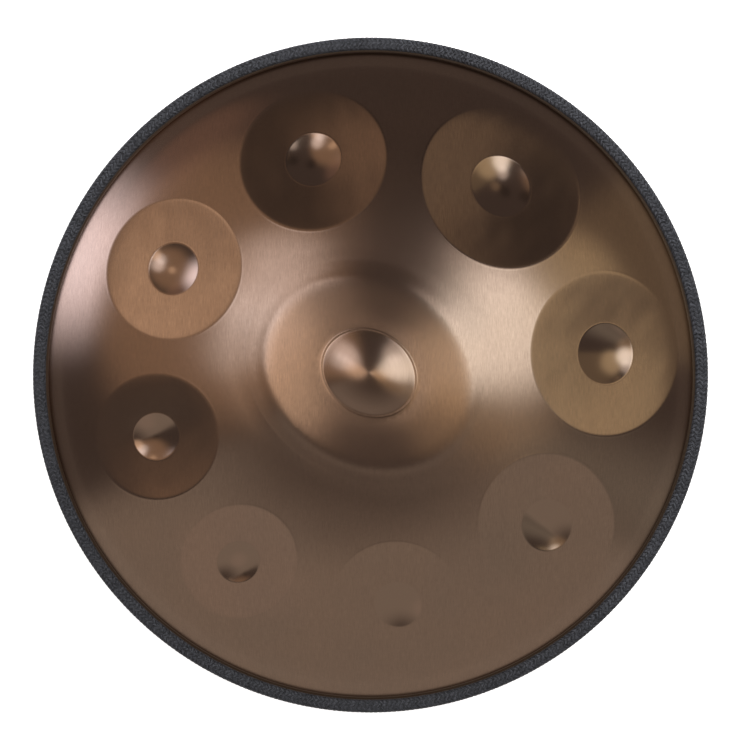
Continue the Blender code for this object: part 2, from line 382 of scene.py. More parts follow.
# The filling grid stays this far inside the wall, and this share of its spacing from the loops;
# its rows lie closer than its columns, so it needs some more of them
WALL_CLEARANCE = 1.5 * MM
LOOP_CLEARANCE = 0.6
EXTRA_ROWS = 60

# Where the finishes end, as shares of the size of a dimple or field, and of the ding's field
FINISH_EDGE = (0.98, 1.01)
RINGED_EDGE = (1.08, 1.2)

# Order of the top shell's materials
BRUSHED, TURNED, INSIDE = 0, 1, 2


def fillet_radii():
    """Radii across the fillet, from the flange to the foot of the wall."""
    return np.linspace(FLAT_RADIUS, FOOT_RADIUS, FILLET_LOOPS)


def plan_loops():
    """Loops of plan points that the facets follow: the wall, and both sides of every crease."""
    flange = (FLANGE_RADIUS, FLANGE_RADIUS - 4 * MM)
    wall = np.linspace(FOOT_RADIUS - EDGE_SPACING, WALL_RADIUS, WALL_LOOPS)
    radii = (*flange, *fillet_radii(), *wall)
    loops = [Oval(0, 0, r, r, 0).ring(WALL_SPACING) for r in radii]
    creases = [(DING_EDGE, SHOULDER_CREASE, SHOULDER_INSETS),
               (DING_OVAL, BEAD_WIDTH, CREASE_INSETS)]
    for field in TONE_FIELDS:
        creases += [(field.edge, FIELD_CREASE, CREASE_INSETS),
                    (field.dimple, DIMPLE_CREASE, CREASE_INSETS)]
    for oval, width, insets in creases:
        loops += [oval.ring(EDGE_SPACING, inset=i * width) for i in insets]
    return loops


def filling_points(loops):
    """A triangular grid over the rest of the plan, finer in the dimples and on the ding dome."""
    taken = np.concatenate(loops)
    tree = KDTree(len(taken))
    for i, (x, y) in enumerate(taken):
        tree.insert((x, y, 0), i)
    tree.balance()
    fine = [DING_OVAL, *(field.dimple for field in TONE_FIELDS)]
    limit = WALL_RADIUS - WALL_CLEARANCE
    found = []
    for spacing, inside in ((PLAN_SPACING, False), (FINE_SPACING, True)):
        count = int(limit / spacing) + 2
        rows = count + EXTRA_ROWS
        i, j = np.meshgrid(np.arange(-count, count + 1), np.arange(-rows, rows + 1))
        x, y = ((i + 0.5 * (j % 2)) * spacing).ravel(), (j * spacing * math.sqrt(3) / 2).ravel()
        in_fine = np.min([oval.reach(x, y) for oval in fine], axis=0) < 1
        keep = (np.hypot(x, y) < limit) & (in_fine == inside)
        for point in zip(x[keep], y[keep]):
            if tree.find((*point, 0))[2] > LOOP_CLEARANCE * spacing:
                found.append(point)
    return found


def mark_finish(mesh, name, marks):
    """Store how far each point has a finish, on the outer face and on the inner one."""
    store_values(mesh, name, np.tile(marks, 2))


def mark_finishes(mesh, x, y):
    """The dimples are polished, the tone fields smoother, the ding's field brushed in rings."""
    dimples = np.min([field.dimple.reach(x, y) for field in TONE_FIELDS], axis=0)
    fields = np.min([field.edge.reach(x, y) for field in TONE_FIELDS], axis=0)
    mark_finish(mesh, "polished", 1 - smooth(*FINISH_EDGE, dimples))
    mark_finish(mesh, "even", 1 - smooth(*FINISH_EDGE, fields))
    mark_finish(mesh, "ringed", 1 - smooth(*RINGED_EDGE, DING_EDGE.reach(x, y)))


def make_top_shell(brushed, turned, inside):
    """Lay the facets out in plan, lift them to the pressed face, and add the inner face."""
    loops = plan_loops()
    points, edges = [], []
    for loop in loops:
        first, count = len(points), len(loop)
        points += [Vector(p) for p in loop]
        edges += [(first + i, first + (i + 1) % count) for i in range(count)]
    points += [Vector(p) for p in filling_points(loops)]
    flat, _, faces, *_ = delaunay_2d_cdt(points, edges, [], 0, 1e-8)
    x = np.array([p.x for p in flat])
    y = np.array([p.y for p in flat])
    faces = np.array(faces)
    normal = normals_of(top_face, x, y)
    outer = np.column_stack((x, y, top_face(x, y)))
    inner = outer - SHEET * normal
    count, border = len(x), len(loops[0])
    ring = np.arange(border)
    rim = np.column_stack((ring, ring + count, (ring + 1) % border + count, (ring + 1) % border))
    mesh = bpy.data.meshes.new("top_shell_steel")
    points = np.concatenate((outer, inner)) + (0, 0, TOP_FLANGE_Z)
    solid = faces.tolist() + (faces[:, ::-1] + count).tolist() + rim.tolist()
    mesh.from_pydata(points.tolist(), [], solid)
    mesh.shade_smooth()
    mark_finishes(mesh, x, y)
    centre_x, centre_y = x[faces].mean(axis=1), y[faces].mean(axis=1)
    on_dome = DING_OVAL.reach(centre_x, centre_y) < 1
    finish = np.full(len(solid), INSIDE, dtype=np.int32)
    finish[:len(faces)] = np.where(on_dome, TURNED, BRUSHED)
    mesh.polygons.foreach_set("material_index", finish)
    mesh.normals_split_custom_set_from_vertices(np.concatenate((normal, -normal)).tolist())
    return new_piece("top_shell_steel", mesh, (brushed, turned, inside), "top_shell")


# ---------------------------------------------------------------- bottom shell and the joint
FLANGE_STEPS = 4
WALL_STEPS = 6
NECK_STEPS = 8
DOME_STEPS = 90
SHELL_SEGMENTS = 240
GLUE_SEGMENTS = 360
CHANNEL_SEGMENTS = 256

# Length of the neck that its rounded cut edge takes up
NECK_EDGE = 0.8 * MM

# Waves round the edge of the glue bead, each with its phase, and how far it wanders
BEAD_WAVES = ((23, 0), (41, 2), (67, 4))
BEAD_UNEVENNESS = 0.16 * MM


def bottom_profile():
    """Outer face of the bottom shell, from its flange down to the ring and up into the port."""
    depth = float(shell_rise(LAND_OUTER))
    flange = np.linspace(FLANGE_RADIUS, FLAT_RADIUS, FLANGE_STEPS)[:-1]
    wall = np.linspace(FOOT_RADIUS, WALL_RADIUS, WALL_STEPS)[1:-1]
    turn = np.linspace(math.pi / 2, math.asin(LAND_OUTER / WALL_RADIUS), DOME_STEPS)
    radius = np.concatenate((flange, fillet_radii(), wall, WALL_RADIUS * np.sin(turn)))
    face = np.column_stack((radius, -shell_rise(radius)))
    roll = LAND_INNER - PORT_RADIUS
    lip = arc((LAND_INNER, roll - depth), roll, -90, -180, steps=12)
    neck = np.linspace(roll, NECK_TOP - NECK_EDGE, NECK_STEPS)[1:]
    neck = np.column_stack((np.full_like(neck, PORT_RADIUS), neck - depth))
    return np.concatenate((face, lip, neck))


def make_bottom_shell(outer_material, inner_material):
    """The port side, with a rounded cut edge at the top of its neck."""
    outer = bottom_profile()
    inner = offset_profile(outer, -SHEET)
    radius = SHEET / 2
    edge = arc((PORT_RADIUS + radius, outer[-1, 1]), radius, 180, 0, steps=8)[1:-1]
    profile = np.concatenate((outer, edge, inner[::-1])) + (0, BOTTOM_FLANGE_Z)
    mesh = turned_mesh("bottom_shell_steel", profile, SHELL_SEGMENTS)
    column = np.tile(np.arange(len(profile)), SHELL_SEGMENTS)
    inside = (column >= len(outer) + len(edge) // 2).astype(np.int32)
    mesh.polygons.foreach_set("material_index", inside)
    return new_piece("bottom_shell_steel", mesh, (outer_material, inner_material),
                     "bottom_shell")


def make_glue(material):
    """The bond between the flanges, with an uneven bead squeezed out inside."""
    half, neck, swell = 0.3 * MM, 0.7 * MM, 0.9 * MM
    outer, bead = FLANGE_RADIUS - 0.3 * MM, FLAT_RADIUS - 2.1 * MM
    back = bead - 1.5 * MM
    round_end = arc((back, 0), swell, 90, 270, steps=8)
    profile = np.array([(outer, half), (FLAT_RADIUS, half), (bead, neck), *round_end,
                        (bead, -neck), (FLAT_RADIUS, -half), (outer, -half)])[::-1]
    mesh = turned_mesh("flange_glue_bead", profile + (0, JOINT_Z), GLUE_SEGMENTS)
    for vertex in mesh.vertices:
        x, y, _ = vertex.co
        r, angle = math.hypot(x, y), math.atan2(y, x)
        depth = max(0.0, (bead - r) / (bead - back + swell))
        wave = sum(math.sin(number * angle + phase) for number, phase in BEAD_WAVES)
        vertex.co.xy *= 1 + depth * wave * BEAD_UNEVENNESS / r
    return new_piece("flange_glue_bead", mesh, (material,), "flange_glue")


def make_channel(material):
    """The rubber channel that grips both flanges, with rounded corners and fine ribs inside."""
    slot, wall = 2.1 * MM, 1.5 * MM
    half = slot + wall
    outer, inner, web = 278.3 * MM, 270.5 * MM, 276.8 * MM
    root, corner, lip = 0.3 * MM, 1.4 * MM, wall / 2
    ribs, first_rib, rib_step = 4, 1.6 * MM, 1.1 * MM
    rib_half, rib_height = 0.25 * MM, 0.12 * MM
    upper = [*arc((web, slot - root), root, 0, 90, steps=3)]
    for i in range(ribs):
        rib = web - first_rib - i * rib_step
        upper += [(rib + rib_half, slot), (rib, slot - rib_height), (rib - rib_half, slot)]
    upper += [*arc((inner + lip, slot + lip), lip, 270, 90, steps=8)]
    upper += [*arc((outer - corner, half - corner), corner, 90, 0, steps=6)]
    profile = np.array(upper + [(r, -z) for r, z in reversed(upper)])
    mesh = turned_mesh("rim_channel_rubber", profile + (0, JOINT_Z), CHANNEL_SEGMENTS)
    channel = new_piece("rim_channel_rubber", mesh, (material,), "rim_channel")
    channel.visible_glossy = False


# ---------------------------------------------------------------- braid
STRANDS = 17
PERIODS = 27
SAMPLES = 64
STRAND_WIDTH = 2.5 * MM
STRAND_THICKNESS = 0.72 * MM
STRAND_LIFT = 0.37 * MM
# How far the strands' middle surface lies inside the rim's outline, and where it ends
LAY_DEPTH = 0.76 * MM
LAY_EDGE = 2.2 * MM
SECTION_POINTS = 400
# A strand turns back in a narrow bend, where it also swaps from over to under
EDGE_ROUNDING = 0.975
SWAP_SHARPNESS = 6
WEAVE_SHARPNESS = 1.8
# A strand's own section is a flat oval with squared ends
STRAND_CORNERS = 12
WIDTH_ROUNDING = 0.8
THICKNESS_ROUNDING = 0.75


def rim_section():
    """The braid's middle surface in section, from under the rim to over it, with its normals."""
    outer, inner = RIM_RADIUS - LAY_DEPTH, RIM_INNER + LAY_DEPTH
    top = RIM_HALF_HEIGHT - LAY_DEPTH
    big, small = RIM_OUTER_ROUND - LAY_DEPTH, RIM_INNER_ROUND - LAY_DEPTH
    upper = [(outer, 0.0), *arc((outer - big, top - big), big, 0, 90, steps=16)]
    upper += [*arc((inner + small, top - small), small, 90, 180, steps=12), (inner, LAY_EDGE)]
    upper = np.array(upper)
    points = np.concatenate((upper[:0:-1] * (1, -1), upper))
    length = np.concatenate(([0], np.linalg.norm(np.diff(points, axis=0), axis=1).cumsum()))
    even = np.linspace(0, length[-1], SECTION_POINTS)
    points = np.column_stack([np.interp(even, length, points[:, i]) for i in (0, 1)])
    along = np.gradient(points, axis=0)
    along /= np.linalg.norm(along, axis=1, keepdims=True)
    return even, points, np.column_stack((along[:, 1], -along[:, 0]))


def strand_mesh(name, number, section):
    """One strand of the braid: it runs to and fro across the rim, over two and under two."""
    across, points, normals = section
    width = across[-1]
    turn = np.arange(PERIODS * SAMPLES) / SAMPLES
    phase = 2 * math.pi * (turn + number / STRANDS)
    swing = np.arcsin(EDGE_ROUNDING * np.sin(phase)) / math.asin(EDGE_ROUNDING)
    place = width * (0.5 + 0.5 * swing)
    forward = np.clip(SWAP_SHARPNESS * np.cos(phase), -1, 1)
    column = np.clip((place / width * STRANDS - 0.5) / 2, 0, (STRANDS - 1) / 2)
    weave = np.tanh(WEAVE_SHARPNESS * np.sin(math.pi * column)) / math.tanh(WEAVE_SHARPNESS)
    lift = STRAND_LIFT * forward * weave

    def on_section(values):
        return np.column_stack([np.interp(place, across, values[:, i]) for i in (0, 1)])

    flat, out = on_section(points), on_section(normals)
    flat = flat + lift[:, None] * out
    angle = 2 * math.pi * turn / PERIODS
    c, s = np.cos(angle), np.sin(angle)
    centre = np.column_stack((flat[:, 0] * c, flat[:, 0] * s, flat[:, 1] + JOINT_Z))
    up = np.column_stack((out[:, 0] * c, out[:, 0] * s, out[:, 1]))
    ahead = np.roll(centre, -1, axis=0) - np.roll(centre, 1, axis=0)
    ahead /= np.linalg.norm(ahead, axis=1, keepdims=True)
    side = np.cross(ahead, up)
    side /= np.linalg.norm(side, axis=1, keepdims=True)
    up = np.cross(side, ahead)
    around = np.linspace(0, 2 * math.pi, STRAND_CORNERS, endpoint=False)
    c, s = np.cos(around), np.sin(around)
    u = STRAND_WIDTH / 2 * np.sign(c) * np.abs(c) ** WIDTH_ROUNDING
    v = STRAND_THICKNESS / 2 * np.sign(s) * np.abs(s) ** THICKNESS_ROUNDING
    ring = centre[:, None] + u[None, :, None] * side[:, None] + v[None, :, None] * up[:, None]
    rows, columns = len(centre), len(around)
    faces = grid_faces(rows, columns)
    mesh = bpy.data.meshes.new(name)
    mesh.from_pydata(ring.reshape(-1, 3).tolist(), [], faces.tolist())
    mesh.shade_smooth()
    step = np.linalg.norm(np.diff(centre, axis=0), axis=1)
    run = np.concatenate(([0], step.cumsum()))
    store_values(mesh, "across", np.tile(u, rows))
    store_values(mesh, "along", np.repeat(run, columns))
    return mesh


def make_braid(material):
    """All the strands of the rim's braid. The metal doesn't mirror them."""
    section = rim_section()
    for number in range(STRANDS):
        name = f"braid_strand_{number + 1:02d}"
        mesh = strand_mesh(name, number, section)
        strand = new_piece(name, mesh, (material,), "rim_braid")
        strand.visible_glossy = False


# ---------------------------------------------------------------- materials
def colour(r, g, b):
    return (r, g, b, 1.0)


BRONZE = colour(0.645, 0.437, 0.308)
PALE_BRONZE = colour(0.600, 0.417, 0.300)
POLISHED_BRONZE = colour(0.58, 0.40, 0.285)
TURNED_BRONZE = colour(0.61, 0.415, 0.295)
SCRATCH_BROWN = colour(0.22, 0.13, 0.09)
MOTTLE_BROWN = colour(0.30, 0.20, 0.14)
# Painted shade for the corner at the foot of the shell's wall
CORNER_SHADE_BROWN = colour(0.10, 0.07, 0.05)
GROOVE_BROWN = colour(0.26, 0.16, 0.11)
OVEN_BROWN = colour(0.20, 0.165, 0.14)
LIGHT_OVEN_BROWN = colour(0.29, 0.23, 0.19)
DRAW_LINE_GREY = colour(0.14, 0.12, 0.11)
EPOXY_GREY = colour(0.20, 0.20, 0.19)
LIGHT_EPOXY_GREY = colour(0.31, 0.31, 0.29)
RUBBER_BLACK = colour(0.010, 0.010, 0.011)
RUBBER_GREY = colour(0.022, 0.022, 0.024)
CORD_BLACK = colour(0.005, 0.0055, 0.007)
CORD_GREY = colour(0.070, 0.073, 0.085)
# Painted shade for the gaps along the edges of the strands
CORD_EDGE_SHADE = colour(0.010, 0.010, 0.012)

# The middle of a noise's range, where nearly all of its values lie, and two narrower cuts of it
NOISE_RANGE = (0.3, 0.7)
STROKE_RANGE = (0.35, 0.65)
CONTRAST_RANGE = (0.36, 0.64)
UNIT = (0.0, 1.0)

# Brush marks on the steel: width and length of the scratches and of the bands between them, the
# width of the rings on the ding, and how far the brushing drifts aside and turns
SCRATCH_SIZE = (0.55 * MM, 9 * MM)
BAND_SIZE = (5 * MM, 60 * MM)
BAND_SHARE = 0.15
RING_WIDTH = 0.5 * MM
DRIFT_REACH = 12 * MM
BRUSH_WANDER = (-0.1, 0.15)
MARK_DEPTH = 0.05 * MM
# How strongly the marks are tinted over the range of their noise, how they are blended, and how
# much they stand out in the open, on the tone fields and on the ding's dome
SCRATCH_TINT = (0.20, 0.0)
MOTTLE_TINT = (0.0, 0.12)
GROOVE_TINT = (0.12, 0.0)
MOTTLE_SHARE = 0.3
RING_SHARE = 0.5
RING_DRIFT = 9.0
OPEN_RELIEF, FIELD_RELIEF, TURNED_RELIEF = 0.24, 0.08, 0.10
BRUSHED_ANISOTROPY, TURNED_ANISOTROPY = 0.42, 0.3
SCRATCHED_ROUGHNESS = (0.22, 0.17)
POLISHED_ROUGHNESS = 0.175
CORNER_ROUGHNESS = 0.45
# Where the painted shade in the corner at the foot of the wall starts and is full; the steel is
# duller there too
CORNER_START = FOOT_RADIUS - 1.0 * MM
CORNER_END = FLAT_RADIUS - 0.3 * MM

# How fast the noise or wave of the lines, yarns and flecks runs, per metre
DRAW_LINES, DRAW_LINE_DRIFT = 420.0, 6.0
EXTRUSION_LINES = 3500.0
YARNS = 1900.0
PLY_ALONG, PLY_ACROSS = 5200.0, 6500.0
FLECKS_ACROSS, FLECKS_ALONG = 900.0, 420.0

# Where the painted shade along a strand's edges starts and ends, and how much its twist and
# fuzz stand out beside its yarns
EDGE_START, EDGE_END = 0.36 * STRAND_WIDTH, 0.49 * STRAND_WIDTH
PLY_SHARE, FUZZ_SHARE = 0.25, 0.5


class Graph:
    """A short way to write shader nodes."""

    def __init__(self, tree):
        self.tree = tree

    def node(self, kind, inputs=None, **settings):
        node = self.tree.nodes.new("ShaderNode" + kind)
        for key, value in settings.items():
            setattr(node, key, value)
        for key, value in (inputs or {}).items():
            self.feed(node.inputs[key], value)
        return node

    def feed(self, socket, value):
        if isinstance(value, bpy.types.NodeSocket):
            self.tree.links.new(value, socket)
        else:
            socket.default_value = value

    def math(self, operation, a, b=0.0):
        return self.node("Math", {0: a, 1: b}, operation=operation).outputs[0]

    def vector(self, operation, a, b=(0, 0, 0)):
        return self.node("VectorMath", {0: a, 1: b}, operation=operation).outputs[0]

    def scale(self, vector, factor):
        return self.node("VectorMath", {0: vector, "Scale": factor}, operation="SCALE").outputs[0]

    def dot(self, a, b):
        node = self.node("VectorMath", {0: a, 1: b}, operation="DOT_PRODUCT")
        return node.outputs["Value"]

    def length(self, vector):
        return self.node("VectorMath", {0: vector}, operation="LENGTH").outputs["Value"]

    def spread(self, value, source, target, **settings):
        """The value moved from a source range to a target range, and held inside it."""
        inputs = {"Value": value, "From Min": source[0], "From Max": source[1],
                  "To Min": target[0], "To Max": target[1]}
        return self.node("MapRange", inputs, **settings).outputs["Result"]

    def ramp(self, value, start, end, target=UNIT):
        """A smooth step through the target range as the value goes from start to end."""
        return self.spread(value, (start, end), target, interpolation_type="SMOOTHSTEP")

    def mix(self, factor, a, b):
        node = self.node("Mix", data_type="RGBA", clamp_factor=True)
        for index, value in ((0, factor), (6, a), (7, b)):
            self.feed(node.inputs[index], value)
        return node.outputs[2]

    def noise(self, vector, scale=1.0, detail=3.0, roughness=0.5):
        inputs = {"Vector": vector, "Scale": scale, "Detail": detail, "Roughness": roughness}
        return self.node("TexNoise", inputs).outputs["Fac"]

    def combine(self, x=0.0, y=0.0, z=0.0):
        return self.node("CombineXYZ", {0: x, 1: y, 2: z}).outputs[0]

    def separate(self, vector):
        return self.node("SeparateXYZ", {0: vector}).outputs

    def attribute(self, name):
        return self.node("Attribute", attribute_name=name).outputs["Fac"]

    def object_point(self):
        return self.node("TexCoord").outputs["Object"]

    def bump(self, height, strength, distance):
        inputs = {"Height": height, "Strength": strength, "Distance": distance}
        return self.node("Bump", inputs).outputs[0]


def new_material(name):
    """A material with its shader, and a graph to write its nodes in."""
    material = bpy.data.materials.new(name)
    material.use_nodes = True
    return material, material.node_tree.nodes["Principled BSDF"], Graph(material.node_tree)


def set_shader(graph, shader, **values):
    for name, value in values.items():
        graph.feed(shader.inputs[name.replace("_", " ")], value)


def radius_of(g, point):
    """Distance from the pan's axis."""
    return g.length(g.vector("MULTIPLY", point, (1, 1, 0)))


def streaks(g, x, y, size, detail=3.0):
    """Noise drawn out along Y into streaks of about this width and length."""
    width, length = size
    stretched = g.combine(g.math("DIVIDE", x, width), g.math("DIVIDE", y, length))
    return g.noise(stretched, detail=detail, roughness=0.6)


def brush_strokes(g, x, y):
    """Fine scratches along Y, with faint broad bands between them."""
    fine, wide = streaks(g, x, y, SCRATCH_SIZE, detail=4.0), streaks(g, x, y, BAND_SIZE)
    return g.math("ADD", g.math("MULTIPLY", fine, 1 - BAND_SHARE),
                  g.math("MULTIPLY", wide, BAND_SHARE))


def brushed_steel():
    """Bronze-coloured steel brushed along Y: in rings on the ding's field, more evenly on the
    tone fields, polished in the dimples, and dull in the corner at the foot of the wall, where
    it is also darkened with painted shade."""
    material, shader, g = new_material("brushed_steel")
    point = g.object_point()
    x, y, _ = g.separate(point)
    drift = g.noise(point, scale=9.0, detail=2.0)
    x = g.math("ADD", x, g.math("MULTIPLY", drift, DRIFT_REACH))
    stroke = brush_strokes(g, x, y)
    cloud, mottle = g.noise(point, scale=14.0), g.noise(point, scale=330.0, roughness=0.6)
    polished, ringed, even = g.attribute("polished"), g.attribute("ringed"), g.attribute("even")
    # Mask of the corner at the foot of the wall, which gets painted shade and more roughness
    corner = g.ramp(radius_of(g, point), CORNER_START, CORNER_END)

    base = g.mix(g.spread(cloud, NOISE_RANGE, UNIT), BRONZE, PALE_BRONZE)
    base = g.mix(g.spread(stroke, CONTRAST_RANGE, SCRATCH_TINT), base, SCRATCH_BROWN)
    base = g.mix(g.spread(mottle, NOISE_RANGE, MOTTLE_TINT), base, MOTTLE_BROWN)
    base = g.mix(polished, base, POLISHED_BRONZE)
    # The corner at the foot of the wall darkened with painted shade
    base = g.mix(corner, base, CORNER_SHADE_BROWN)

    rough = g.spread(stroke, STROKE_RANGE, SCRATCHED_ROUGHNESS)
    rough = g.spread(polished, UNIT, (rough, POLISHED_ROUGHNESS))
    rough = g.spread(corner, UNIT, (rough, CORNER_ROUGHNESS))

    across = g.combine(1.0, g.spread(drift, NOISE_RANGE, BRUSH_WANDER))
    outward = g.vector("NORMALIZE", g.combine(x, y))
    tangent = g.vector("ADD", g.scale(outward, ringed),
                       g.scale(across, g.math("SUBTRACT", 1.0, ringed)))

    mark = g.math("ADD", stroke, g.math("MULTIPLY", mottle, MOTTLE_SHARE))
    relief = g.spread(even, UNIT, (OPEN_RELIEF, FIELD_RELIEF))
    set_shader(g, shader, Base_Color=base, Metallic=1.0, Roughness=rough,
               Anisotropic=BRUSHED_ANISOTROPY, Tangent=g.vector("NORMALIZE", tangent),
               Normal=g.bump(mark, relief, MARK_DEPTH))
    return material


def turned_steel():
    """The ding's dome: the same steel, polished in rings round its middle."""
    material, shader, g = new_material("turned_steel")
    point = g.object_point()
    x, y, _ = g.separate(point)
    turns = g.math("DIVIDE", radius_of(g, point), RING_WIDTH)
    rings = g.noise(g.combine(turns, g.math("MULTIPLY", x, RING_DRIFT),
                              g.math("MULTIPLY", y, RING_DRIFT)))
    mark = g.math("ADD", g.math("MULTIPLY", rings, RING_SHARE),
                  g.math("MULTIPLY", brush_strokes(g, x, y), 1 - RING_SHARE))
    base = g.mix(g.spread(mark, CONTRAST_RANGE, GROOVE_TINT), TURNED_BRONZE, GROOVE_BROWN)
    set_shader(g, shader, Base_Color=base, Metallic=1.0, Anisotropic=TURNED_ANISOTROPY,
               Roughness=g.spread(mark, STROKE_RANGE, SCRATCHED_ROUGHNESS),
               Tangent=g.vector("NORMALIZE", g.combine(x, y)),
               Normal=g.bump(mark, TURNED_RELIEF, MARK_DEPTH))
    return material


def raw_steel():
    """The unfinished inside of the shells: dull, brown from the oven, with faint draw lines."""
    material, shader, g = new_material("raw_steel")
    point = g.object_point()
    x, _, _ = g.separate(point)
    lines = g.noise(g.combine(g.math("MULTIPLY", radius_of(g, point), DRAW_LINES),
                              g.math("MULTIPLY", x, DRAW_LINE_DRIFT)))
    cloud = g.noise(point, scale=24.0, detail=5.0, roughness=0.6)
    base = g.mix(g.spread(cloud, STROKE_RANGE, UNIT), OVEN_BROWN, LIGHT_OVEN_BROWN)
    base = g.mix(g.spread(lines, NOISE_RANGE, (0.0, 0.4)), base, DRAW_LINE_GREY)
    set_shader(g, shader, Base_Color=base, Metallic=1.0,
               Roughness=g.spread(cloud, NOISE_RANGE, (0.5, 0.38)),
               Normal=g.bump(lines, 0.15, 0.1 * MM))
    return material


def epoxy():
    """Cured grey adhesive with small bubbles and a soft shine."""
    material, shader, g = new_material("epoxy")
    point = g.object_point()
    cloud = g.noise(point, scale=160.0, detail=4.0, roughness=0.6)
    bubbles = g.node("TexVoronoi", {"Vector": point, "Scale": 900.0}).outputs["Distance"]
    set_shader(g, shader, Base_Color=g.mix(cloud, EPOXY_GREY, LIGHT_EPOXY_GREY),
               Roughness=g.spread(cloud, NOISE_RANGE, (0.5, 0.34)),
               Normal=g.bump(g.ramp(bubbles, 0.0, 0.3), 0.3, 0.1 * MM))
    return material


def rubber():
    """Black extruded rubber, with a fine grain and faint lines along the extrusion."""
    material, shader, g = new_material("rubber")
    point = g.object_point()
    _, _, z = g.separate(point)
    lines = g.noise(g.combine(g.math("MULTIPLY", z, EXTRUSION_LINES)), detail=2.0)
    grain = g.noise(point, scale=2200.0, roughness=0.6)
    set_shader(g, shader, Base_Color=g.mix(grain, RUBBER_BLACK, RUBBER_GREY),
               Roughness=g.spread(grain, NOISE_RANGE, (0.52, 0.68)),
               Normal=g.bump(g.math("ADD", lines, grain), 0.25, 0.08 * MM))
    return material


def braided_cord():
    """Charcoal strands of parallel yarns, flecked lighter and darker like a worn woven tape, with
    painted shade in the grooves between the yarns and along each strand's edges.
    """
    material, shader, g = new_material("braided_cord")
    across, along = g.attribute("across"), g.attribute("along")
    yarn = g.math("MULTIPLY", across, YARNS)
    ridge = g.math("ABSOLUTE", g.math("SINE", g.math("MULTIPLY", yarn, math.pi / 2)))
    ply = g.math("SINE", g.math("ADD", g.math("MULTIPLY", along, PLY_ALONG),
                                g.math("MULTIPLY", across, PLY_ACROSS)))
    fleck = g.noise(g.combine(g.math("MULTIPLY", across, FLECKS_ACROSS),
                              g.math("MULTIPLY", along, FLECKS_ALONG)), roughness=0.6)
    fuzz = g.noise(g.object_point(), scale=2600.0, detail=4.0, roughness=0.65)
    edge = g.ramp(g.math("ABSOLUTE", across), EDGE_START, EDGE_END)
    # Painted shade: the grooves between the yarns are darker than their crests, over the flecks
    flecks_and_yarn_shade = g.math("MULTIPLY", g.spread(fleck, CONTRAST_RANGE, UNIT),
                 g.spread(ridge, UNIT, (0.5, 1.0)))
    # Painted shade: each strand's edges are darkened nearly to black
    base = g.mix(edge, g.mix(flecks_and_yarn_shade, CORD_BLACK, CORD_GREY), CORD_EDGE_SHADE)
    twist = g.math("ADD", g.math("MULTIPLY", ply, PLY_SHARE),
                   g.math("MULTIPLY", fuzz, FUZZ_SHARE))
    set_shader(g, shader, Base_Color=base, Roughness=g.spread(fuzz, NOISE_RANGE, (0.5, 0.7)),
               Sheen_Weight=0.08, Sheen_Roughness=0.4,
               Normal=g.bump(g.math("ADD", ridge, twist), 0.6, 0.12 * MM))
    return material


# ---------------------------------------------------------------- studio
WALL_COLOUR = colour(0.93, 0.93, 0.94)
FLOOR_GREY = colour(0.78, 0.78, 0.79)
PALE_FLOOR_GREY = colour(0.80, 0.80, 0.80)
WHITE = colour(1.0, 1.0, 1.0)
ROOM_GLOW = (0.067, 0.058, 0.058)
# The floor as the metal mirrors it: its colour, and the downward slopes where it fades in
FLOOR_GLOW = (0.32, 0.31, 0.30)
FLOOR_FADE = (-0.25, -0.6)
FLAG_DIMMING = 0.55

FLOOR_HALF = 6.0
FLOOR_GAP = 0.2 * MM
FLOOR_GLEAM = 0.78

CAMERA_DISTANCE = 2.2
CAMERA_ASIDE = (17 * MM, -28 * MM)
SENSOR_WIDTH = 36.0
FRAME_WIDTH = 622.2 * MM
PAN_OFFSET = (3.95 * MM, -0.42 * MM)


def bearing_vector(azimuth, zenith):
    a, z = math.radians(azimuth), math.radians(zenith)
    return (math.cos(a) * math.sin(z), math.sin(a) * math.sin(z), math.cos(z))


def patch(g, direction, azimuth, zenith, inner, outer):
    """1 within the inner angle of a direction, falling to 0 at the outer angle."""
    cosine = g.dot(direction, bearing_vector(azimuth, zenith))
    return g.ramp(cosine, math.cos(math.radians(outer)), math.cos(math.radians(inner)))


def sector(g, direction, azimuth, half_width, edge, zenith_start, zenith_full):
    """1 inside a range of azimuths beyond a zenith angle, with soft edges."""
    ahead = g.dot(direction, bearing_vector(azimuth, 90))
    aside = g.dot(direction, bearing_vector(azimuth + 90, 90))
    turn = g.math("ABSOLUTE", g.math("ARCTAN2", aside, ahead))
    narrow, wide = math.radians(half_width - edge), math.radians(half_width + edge)
    inside = g.ramp(turn, narrow, wide, (1.0, 0.0))
    zenith = g.math("ARCCOSINE", g.separate(direction)[2])
    beyond = g.ramp(zenith, math.radians(zenith_start), math.radians(zenith_full))
    return g.math("MULTIPLY", inside, beyond)


